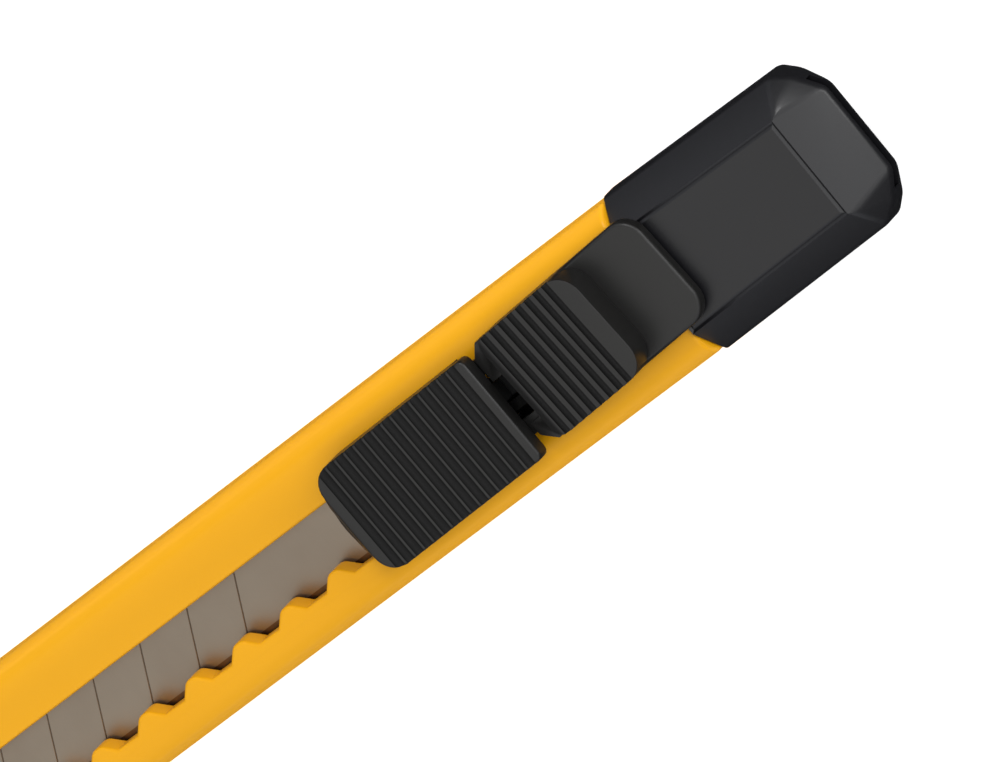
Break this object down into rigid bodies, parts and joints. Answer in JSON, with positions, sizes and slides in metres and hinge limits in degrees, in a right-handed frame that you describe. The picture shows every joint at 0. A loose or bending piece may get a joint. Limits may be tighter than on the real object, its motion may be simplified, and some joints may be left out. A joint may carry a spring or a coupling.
{
  "type": "utility knife",
  "caption": "Snap-off utility knife with a plastic handle, toothed slot, ribbed two-part slider with lock, segmented blade and faceted snapping cap.",
  "frame": {"origin": "centre of the bounding box in plan, on the plane of the flat back face", "axes": "+X along the handle from the end cap to the nose, +Y to the blade's cutting edge and the toothed side of the slot, +Z from the flat back through the slider"},
  "size_m": [0.1279, 0.0138, 0.011],
  "materials": {
    "yellow_abs": "moulded, satin",
    "stainless_steel": "rolled sheet",
    "blade_steel": "ground carbon steel",
    "black_acetal": "moulded",
    "spring_steel": "rolled strip",
    "black_slider_abs": "moulded, fine texture",
    "black_cap_abs": "moulded, fine texture"
  },
  "bodies": {
    "handle": {"front_shell": "yellow_abs", "back_shell": "yellow_abs", "nose_sheath": "stainless_steel"},
    "slider": {"thumb_pad": "black_slider_abs", "blade_holder": "black_acetal", "blade_peg": "stainless_steel", "snap_off_blade": "blade_steel", "detent_spring": "spring_steel"},
    "lock": {"lock_slide": "black_slider_abs"},
    "cap": {"end_cap": "black_cap_abs"}
  },
  "joints": [
    {"name": "blade_slide", "type": "slide", "parent": "handle", "child": "slider", "axis": [1, 0, 0], "range_m": [0, 0.06], "deforming": ["detent_spring"]},
    {"name": "lock_press", "type": "slide", "parent": "slider", "child": "lock", "axis": [1, 0, 0], "range_m": [0, 0.0012]},
    {"name": "end_cap_pull", "type": "slide", "parent": "handle", "child": "cap", "axis": [-1, 0, 0], "range_m": [0, 0.022]}
  ]
}
